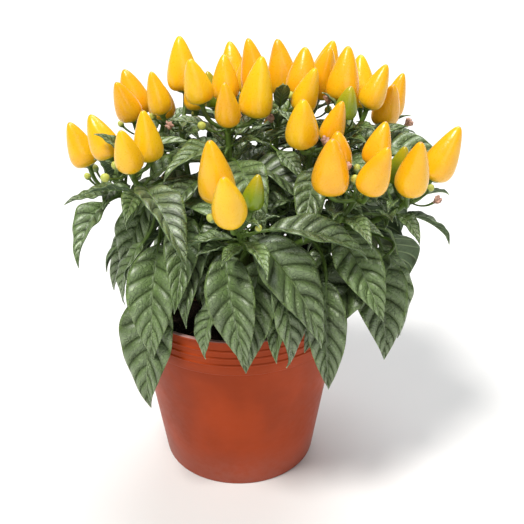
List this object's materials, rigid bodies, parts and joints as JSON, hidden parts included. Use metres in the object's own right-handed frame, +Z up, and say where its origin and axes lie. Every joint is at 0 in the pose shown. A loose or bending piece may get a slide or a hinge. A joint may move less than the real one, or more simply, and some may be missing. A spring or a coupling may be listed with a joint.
{
  "type": "potted chilli pepper plant",
  "caption": "Bushy ornamental chilli pepper plant with upright conical yellow fruits in bunches over drooping dark green leaves, in a round terracotta-coloured plastic pot.",
  "frame": {"origin": "middle of the pot's underside, on the plane it stands on", "axes": "+Z up out of the pot, -Y towards the side seen in the picture, +X to the right seen from there"},
  "size_m": [0.1958, 0.174, 0.2324],
  "materials": {
    "terracotta_plastic": "satin",
    "soil": "loose and matte",
    "stem": "satin",
    "foliage": "satin",
    "ripe_fruit": "glossy",
    "unripe_fruit": "glossy"
  },
  "bodies": {
    "root": {"pot": "terracotta_plastic", "potting_soil": "soil", "main_stem": "stem", "leafy_shoot_01": "foliage", "leafy_shoot_02": "foliage", "leafy_shoot_03": "foliage", "leafy_shoot_04": "foliage", "leafy_shoot_05": "foliage", "leafy_shoot_06": "foliage", "leafy_shoot_07": "foliage", "leafy_shoot_08": "foliage", "leafy_shoot_09": "foliage", "leafy_shoot_10": "foliage", "leafy_shoot_11": "foliage", "leafy_shoot_12": "foliage", "leafy_shoot_13": "foliage", "leafy_shoot_14": "foliage", "leafy_shoot_15": "foliage", "pepper_01_1": "ripe_fruit", "pepper_01_2": "ripe_fruit", "pepper_01_3": "ripe_fruit", "pepper_01_4": "ripe_fruit", "pepper_02_1": "ripe_fruit", "pepper_02_2": "ripe_fruit", "pepper_02_3": "ripe_fruit", "pepper_03_1": "ripe_fruit", "pepper_03_2": "ripe_fruit", "pepper_04_1": "ripe_fruit", "pepper_04_2": "ripe_fruit", "pepper_04_3": "unripe_fruit", "pepper_05_1": "ripe_fruit", "pepper_05_2": "ripe_fruit", "pepper_05_3": "ripe_fruit", "pepper_06_1": "ripe_fruit", "pepper_06_2": "ripe_fruit", "pepper_06_3": "ripe_fruit", "pepper_07_1": "ripe_fruit", "pepper_07_2": "ripe_fruit", "pepper_07_3": "unripe_fruit", "pepper_08_1": "ripe_fruit", "pepper_08_2": "ripe_fruit", "pepper_08_3": "ripe_fruit", "pepper_08_4": "ripe_fruit", "pepper_09_1": "ripe_fruit", "pepper_09_2": "ripe_fruit", "pepper_09_3": "unripe_fruit", "pepper_10_1": "ripe_fruit", "pepper_10_2": "ripe_fruit", "pepper_10_3": "ripe_fruit", "pepper_11_1": "ripe_fruit", "pepper_11_2": "ripe_fruit", "pepper_11_3": "ripe_fruit", "pepper_12_1": "ripe_fruit", "pepper_12_2": "ripe_fruit", "pepper_12_3": "unripe_fruit", "pepper_13_1": "ripe_fruit", "pepper_13_2": "ripe_fruit", "pepper_13_3": "ripe_fruit", "pepper_14_1": "ripe_fruit", "pepper_15_1": "ripe_fruit"}
  },
  "joints": []
}
